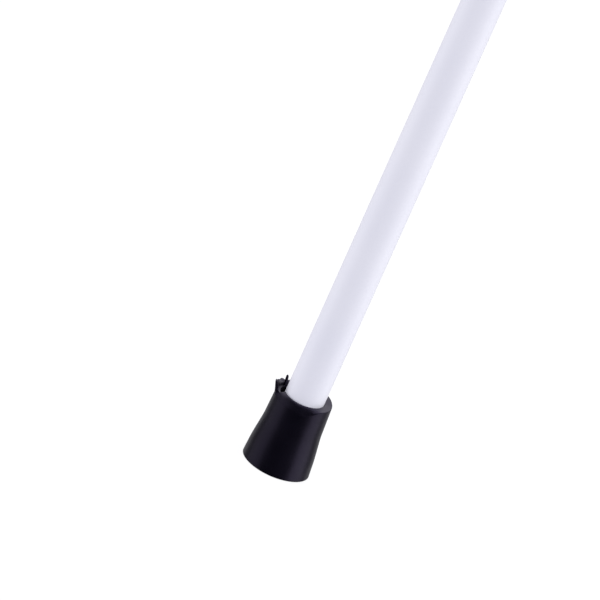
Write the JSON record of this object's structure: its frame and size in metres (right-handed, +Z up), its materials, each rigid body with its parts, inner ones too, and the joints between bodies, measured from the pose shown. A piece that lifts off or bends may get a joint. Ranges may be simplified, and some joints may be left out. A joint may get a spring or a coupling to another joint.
{
  "type": "white cane",
  "caption": "White mobility cane of telescopic coated aluminium tubes with twist locks, a rubber ferrule and a moulded rubber grip with a wrist-cord eye.",
  "frame": {"origin": "centre of the ferrule's sole, where the cane stands on the ground", "axes": "+Z up along the cane to the grip; -Y is the side of the grip's flat, where the index finger lies; the wrist-cord hole runs along X"},
  "size_m": [0.032, 0.032, 1.2],
  "materials": {
    "white_coat": "white powder coat, satin",
    "ferrule_rubber": "moulded, satin",
    "grip_rubber": "moulded, patterned",
    "black_plastic": "fine spark texture",
    "bush_plastic": "natural acetal",
    "cone_plastic": "grey nylon",
    "steel": "zinc plated",
    "reflective_tape": "silver-white glass bead tape"
  },
  "bodies": {
    "upper": {"upper_tube": "white_coat", "upper_collar": "black_plastic", "upper_guide_bush": "bush_plastic", "reflective_band": "reflective_tape", "grip": "grip_rubber", "grip_ring": "black_plastic", "top_insert": "black_plastic", "grip_cap": "black_plastic"},
    "middle_lock": {"middle_lock_sleeve": "bush_plastic"},
    "middle_cone": {"middle_lock_cone": "cone_plastic"},
    "middle": {"middle_tube": "white_coat", "middle_lock_plug": "black_plastic", "middle_lock_screw": "steel", "middle_lock_stop": "black_plastic", "middle_collar": "black_plastic", "middle_guide_bush": "bush_plastic"},
    "lower_lock": {"lower_lock_sleeve": "bush_plastic"},
    "lower_cone": {"lower_lock_cone": "cone_plastic"},
    "lower": {"lower_tube": "white_coat", "lower_lock_plug": "black_plastic", "lower_lock_screw": "steel", "lower_lock_stop": "black_plastic", "ferrule": "ferrule_rubber", "ferrule_washer": "steel"}
  },
  "joints": [
    {"name": "middle_slide", "type": "slide", "parent": "upper", "child": "middle_lock", "axis": [0, 0, 1], "range_m": [0, 0.355]},
    {"name": "middle_twist", "type": "hinge", "parent": "middle_lock", "child": "middle", "pos_m": [0, 0, 0.785], "axis": [0, 0, 1], "range_deg": [-180, 0]},
    {"name": "middle_cone_travel", "type": "slide", "parent": "middle_lock", "child": "middle_cone", "axis": [0, 0, 1], "range_m": [0, 0.001]},
    {"name": "lower_slide", "type": "slide", "parent": "middle", "child": "lower_lock", "axis": [0, 0, 1], "range_m": [0, 0.335]},
    {"name": "lower_twist", "type": "hinge", "parent": "lower_lock", "child": "lower", "pos_m": [0, 0, 0.4], "axis": [0, 0, 1], "range_deg": [-180, 0]},
    {"name": "lower_cone_travel", "type": "slide", "parent": "lower_lock", "child": "lower_cone", "axis": [0, 0, 1], "range_m": [0, 0.001]}
  ],
  "couplings": [
    {"joint": "middle_cone_travel", "follows": "middle_twist", "m_per_rad": -0.000318},
    {"joint": "lower_cone_travel", "follows": "lower_twist", "m_per_rad": -0.000318}
  ]
}
